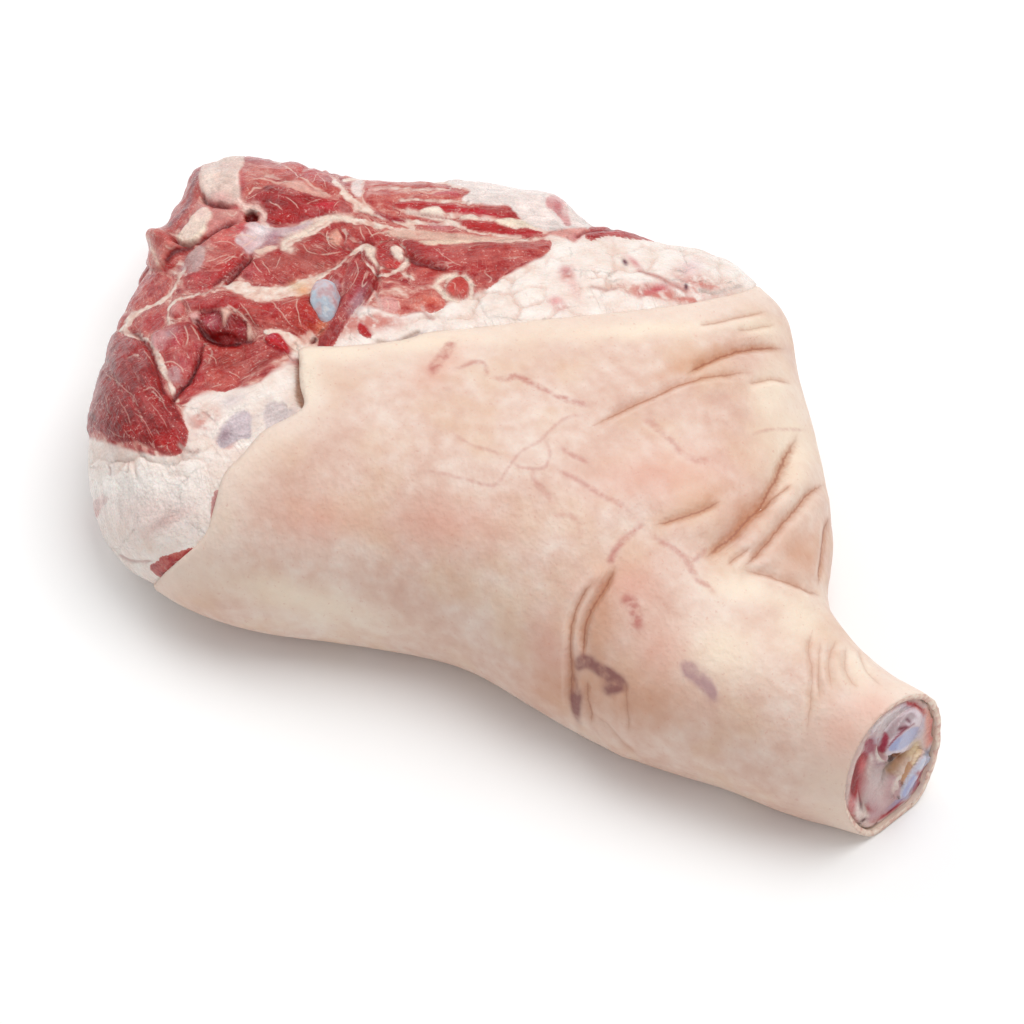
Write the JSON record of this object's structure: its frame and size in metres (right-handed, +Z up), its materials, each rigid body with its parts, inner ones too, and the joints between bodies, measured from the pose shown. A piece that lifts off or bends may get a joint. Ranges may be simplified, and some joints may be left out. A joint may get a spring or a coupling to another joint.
{
  "type": "raw pork shoulder",
  "caption": "Whole raw pork shoulder joint, rind on, cut meat laid bare at the butt and the shank sawn off square, lying flat on its inner side.",
  "frame": {"origin": "on the resting surface, under the middle of the joint's outline", "axes": "+X from the butt to the sawn end of the shank, +Y to the back edge, +Z up from the resting surface"},
  "size_m": [0.505, 0.3356, 0.1064],
  "materials": {
    "flesh": "moist raw rind, fat and lean",
    "shank_bone": "wet joint cartilage on bone",
    "blade_cartilage": "wet blue-white cartilage"
  },
  "bodies": {
    "root": {"shoulder_flesh": "flesh", "radius_bone": "shank_bone", "ulna_bone": "shank_bone", "blade_bone": "blade_cartilage"}
  },
  "joints": []
}
